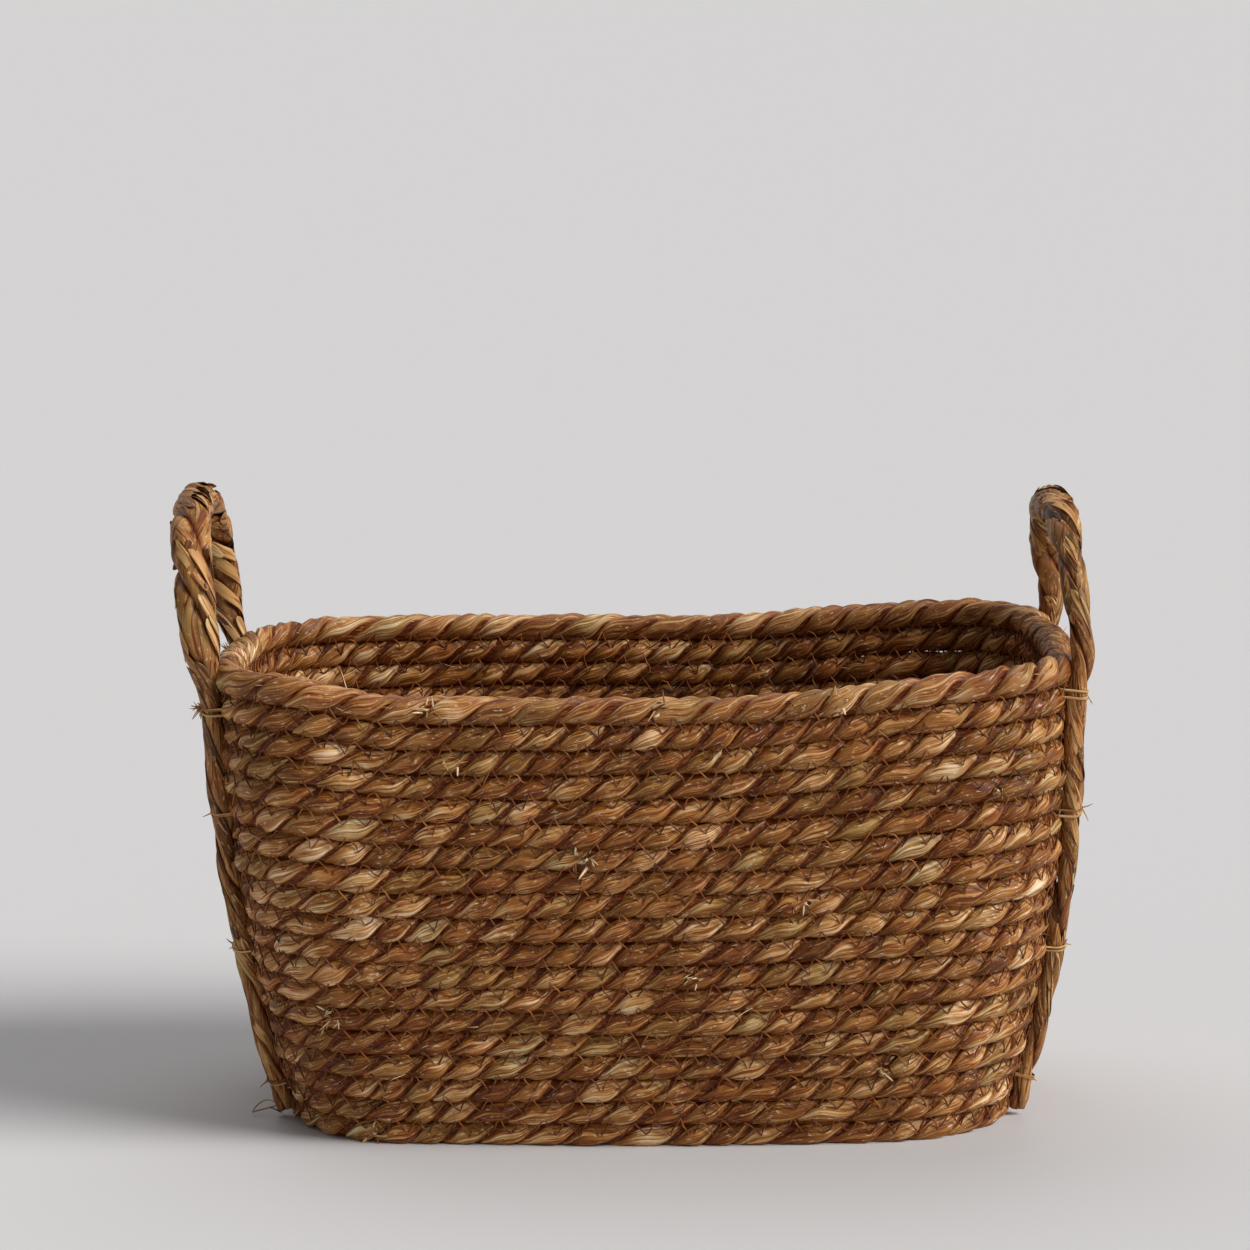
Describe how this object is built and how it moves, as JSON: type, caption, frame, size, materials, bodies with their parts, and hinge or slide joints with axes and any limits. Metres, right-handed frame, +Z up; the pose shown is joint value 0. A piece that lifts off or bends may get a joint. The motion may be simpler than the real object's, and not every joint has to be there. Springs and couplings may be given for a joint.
{
  "type": "storage basket",
  "caption": "Coiled and sewn seagrass rope storage basket, rounded rectangular, with an upright rope loop handle tied to each end.",
  "frame": {"origin": "on the floor under the middle of the base", "axes": "+X along the basket towards the right handle, +Y across it towards the back wall, +Z up"},
  "size_m": [0.4292, 0.251, 0.2973],
  "materials": {
    "seagrass_rope": "twisted seagrass, satin",
    "rim_rope": "twisted seagrass, lighter, satin",
    "handle_rope": "twisted seagrass, broad blades, satin",
    "raffia_tie": "pale raffia, matt",
    "sewing_thread": "brown twisted thread, matt"
  },
  "bodies": {
    "basket": {"wall_course_01": "seagrass_rope", "wall_course_02": "seagrass_rope", "wall_course_03": "seagrass_rope", "wall_course_04": "seagrass_rope", "wall_course_05": "seagrass_rope", "wall_course_06": "seagrass_rope", "wall_course_07": "seagrass_rope", "wall_course_08": "seagrass_rope", "wall_course_09": "seagrass_rope", "wall_course_10": "seagrass_rope", "wall_course_11": "seagrass_rope", "wall_course_12": "seagrass_rope", "wall_course_13": "seagrass_rope", "wall_course_14": "seagrass_rope", "wall_course_15": "seagrass_rope", "wall_course_16": "seagrass_rope", "wall_course_17": "seagrass_rope", "wall_course_18": "seagrass_rope", "rim_course": "rim_rope", "base_turn_1": "seagrass_rope", "base_turn_2": "seagrass_rope", "base_turn_3": "seagrass_rope", "base_turn_4": "seagrass_rope", "base_turn_5": "seagrass_rope", "base_turn_6": "seagrass_rope", "base_turn_7": "seagrass_rope", "base_turn_8": "seagrass_rope", "wall_stitching": "sewing_thread", "base_stitching": "sewing_thread", "left_handle_leg_front": "handle_rope", "left_handle_leg_back": "handle_rope", "right_handle_leg_front": "handle_rope", "right_handle_leg_back": "handle_rope", "left_tie_front_1": "raffia_tie", "left_tie_front_2": "raffia_tie", "left_tie_front_3": "raffia_tie", "left_tie_front_4": "raffia_tie", "left_tie_back_1": "raffia_tie", "left_tie_back_2": "raffia_tie", "left_tie_back_3": "raffia_tie", "left_tie_back_4": "raffia_tie", "right_tie_front_1": "raffia_tie", "right_tie_front_2": "raffia_tie", "right_tie_front_3": "raffia_tie", "right_tie_front_4": "raffia_tie", "right_tie_back_1": "raffia_tie", "right_tie_back_2": "raffia_tie", "right_tie_back_3": "raffia_tie", "right_tie_back_4": "raffia_tie"},
    "left_loop": {"left_handle_loop": "handle_rope"},
    "right_loop": {"right_handle_loop": "handle_rope"}
  },
  "joints": [
    {"name": "left_loop_bend", "type": "hinge", "parent": "basket", "child": "left_loop", "pos_m": [-0.20441, 0, 0.21604], "axis": [0, -1, 0], "range_deg": [-70, 50], "stiffness_Nm_per_rad": 0.3},
    {"name": "right_loop_bend", "type": "hinge", "parent": "basket", "child": "right_loop", "pos_m": [0.20441, 0, 0.21604], "axis": [0, 1, 0], "range_deg": [-70, 50], "stiffness_Nm_per_rad": 0.3}
  ]
}
